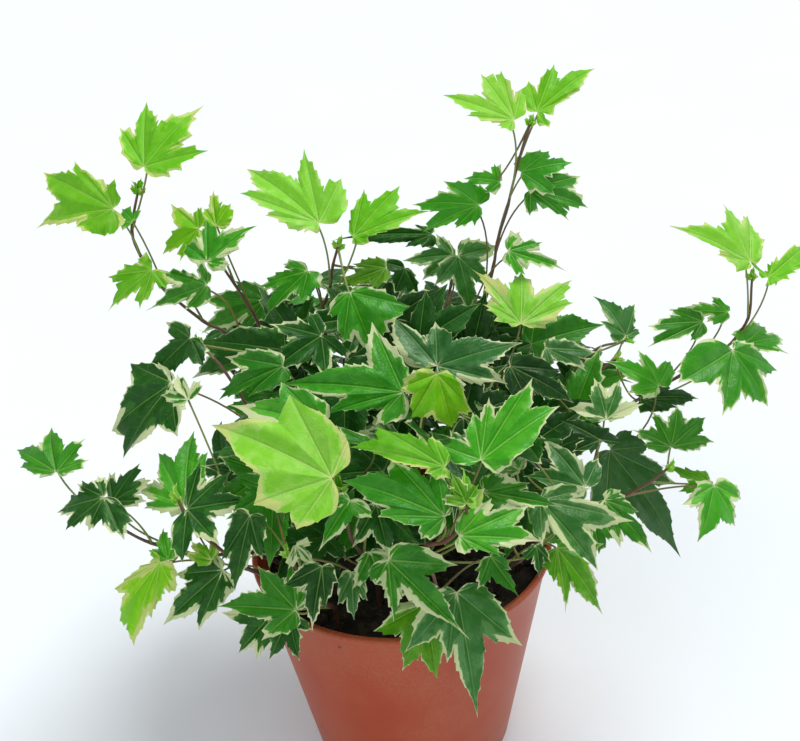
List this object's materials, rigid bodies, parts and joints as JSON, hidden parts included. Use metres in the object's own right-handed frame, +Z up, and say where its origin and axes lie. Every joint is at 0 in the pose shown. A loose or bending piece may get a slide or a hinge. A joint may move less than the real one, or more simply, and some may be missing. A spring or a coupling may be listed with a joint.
{
  "type": "potted ivy",
  "caption": "Bushy variegated ivy with lobed, cream-edged leaves on upright and arching stems, rooted in soil in a plain tapered plastic nursery pot.",
  "frame": {"origin": "centre of the pot's flat foot, on the surface that it stands on", "axes": "+Z up along the pot's axis; -Y towards the viewer of the picture; +X to the viewer's right"},
  "size_m": [0.3193, 0.243, 0.2676],
  "materials": {
    "pot_plastic": "satin",
    "soil": "rough",
    "ivy_leaf": "waxy"
  },
  "bodies": {
    "root": {"pot": "pot_plastic", "soil": "soil", "stem_tall_shoot": "ivy_leaf", "stem_back_middle": "ivy_leaf", "stem_middle_shoot": "ivy_leaf", "stem_left_shoot": "ivy_leaf", "stem_lime_shoot": "ivy_leaf", "stem_left_middle": "ivy_leaf", "stem_left_trail": "ivy_leaf", "stem_left_front": "ivy_leaf", "stem_front_left": "ivy_leaf", "stem_bright_front": "ivy_leaf", "stem_middle": "ivy_leaf", "stem_front_shoot": "ivy_leaf", "stem_front_hang": "ivy_leaf", "stem_right_front": "ivy_leaf", "stem_right_trail": "ivy_leaf", "stem_right_middle": "ivy_leaf", "stem_right_back": "ivy_leaf", "stem_right_shoot": "ivy_leaf", "stem_back_left": "ivy_leaf", "stem_back_far_left": "ivy_leaf", "stem_back_far": "ivy_leaf", "stem_back_far_right": "ivy_leaf", "stem_back_right": "ivy_leaf"}
  },
  "joints": []
}
